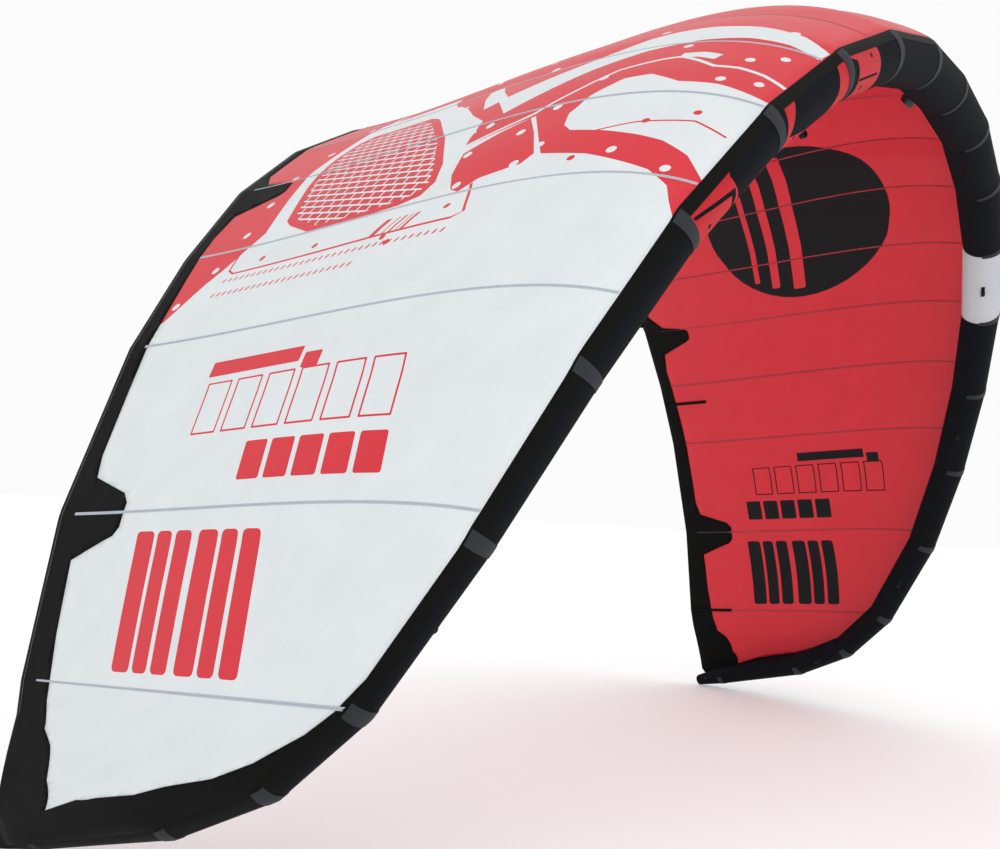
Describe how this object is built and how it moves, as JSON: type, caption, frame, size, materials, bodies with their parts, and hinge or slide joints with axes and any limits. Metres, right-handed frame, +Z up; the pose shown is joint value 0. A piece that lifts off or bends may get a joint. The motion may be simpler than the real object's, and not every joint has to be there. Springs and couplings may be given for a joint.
{
  "type": "kitesurf kite",
  "caption": "Strutless inflatable kite: arched leading-edge tube, sewn cambered canopy, battened trailing edge, valve and line loops.",
  "frame": {"origin": "middle of the base of the box: X = 0 on the kite's plane of symmetry, Y = 0 halfway between leading and trailing edge, Z = 0 at the lowest points of the wingtips", "axes": "+X to the right tip seen from behind, +Y from leading edge to trailing edge, +Z up towards the top of the arch"},
  "size_m": [3.683, 1.6782, 2.3119],
  "materials": {
    "tube_casing": "satin",
    "canopy": "satin",
    "reinforcement": "matte",
    "bladder": "satin",
    "bumper": "matte",
    "batten": "satin",
    "valve": "satin",
    "valve_pin": "brushed",
    "valve_flap": "matte",
    "webbing": "matte"
  },
  "bodies": {
    "kite": {"back_line_loops": "webbing", "batten_patches": "reinforcement", "battens": "batten", "bladder": "bladder", "bumper_strips": "bumper", "canopy_panel_centre": "canopy", "canopy_panel_left_01": "canopy", "canopy_panel_left_02": "canopy", "canopy_panel_left_03": "canopy", "canopy_panel_left_04": "canopy", "canopy_panel_left_05": "canopy", "canopy_panel_left_06": "canopy", "canopy_panel_left_07": "canopy", "canopy_panel_left_08": "canopy", "canopy_panel_left_09": "canopy", "canopy_panel_left_10": "canopy", "canopy_panel_right_01": "canopy", "canopy_panel_right_02": "canopy", "canopy_panel_right_03": "canopy", "canopy_panel_right_04": "canopy", "canopy_panel_right_05": "canopy", "canopy_panel_right_06": "canopy", "canopy_panel_right_07": "canopy", "canopy_panel_right_08": "canopy", "canopy_panel_right_09": "canopy", "canopy_panel_right_10": "canopy", "front_line_loops": "webbing", "trailing_band_left": "reinforcement", "trailing_band_right": "reinforcement", "tube_segment_left_01": "tube_casing", "tube_segment_left_02": "tube_casing", "tube_segment_left_03": "tube_casing", "tube_segment_left_04": "tube_casing", "tube_segment_left_05": "tube_casing", "tube_segment_left_06": "tube_casing", "tube_segment_left_07": "tube_casing", "tube_segment_left_08": "tube_casing", "tube_segment_left_09": "tube_casing", "tube_segment_left_10": "tube_casing", "tube_segment_left_11": "tube_casing", "tube_segment_left_12": "tube_casing", "tube_segment_right_01": "tube_casing", "tube_segment_right_02": "tube_casing", "tube_segment_right_03": "tube_casing", "tube_segment_right_04": "tube_casing", "tube_segment_right_05": "tube_casing", "tube_segment_right_06": "tube_casing", "tube_segment_right_07": "tube_casing", "tube_segment_right_08": "tube_casing", "tube_segment_right_09": "tube_casing", "tube_segment_right_10": "tube_casing", "tube_segment_right_11": "tube_casing", "tube_segment_right_12": "tube_casing", "valve_base": "valve", "wingtip_patch_left": "reinforcement", "wingtip_patch_right": "reinforcement"},
    "collar": {"valve_collar": "valve", "valve_hinge_pin": "valve_pin"},
    "cap": {"valve_cap": "valve"},
    "flap": {"valve_flap": "valve_flap"}
  },
  "joints": [
    {"name": "collar_turn", "type": "hinge", "parent": "kite", "child": "collar", "pos_m": [-0.11413, -0.70801, 2.04912], "axis": [0.0527, 0.7968, -0.6019], "range_deg": [0, 90]},
    {"name": "cap_hinge", "type": "hinge", "parent": "collar", "child": "cap", "pos_m": [-0.0889, -0.69558, 2.04187], "axis": [0.0694, -0.6042, -0.7938], "range_deg": [0, 150]},
    {"name": "flap_hinge", "type": "hinge", "parent": "kite", "child": "flap", "pos_m": [-0.10064, -0.71494, 2.05558], "axis": [-0.0694, 0.6042, 0.7938], "range_deg": [0, 60], "stiffness_Nm_per_rad": 0.002}
  ]
}
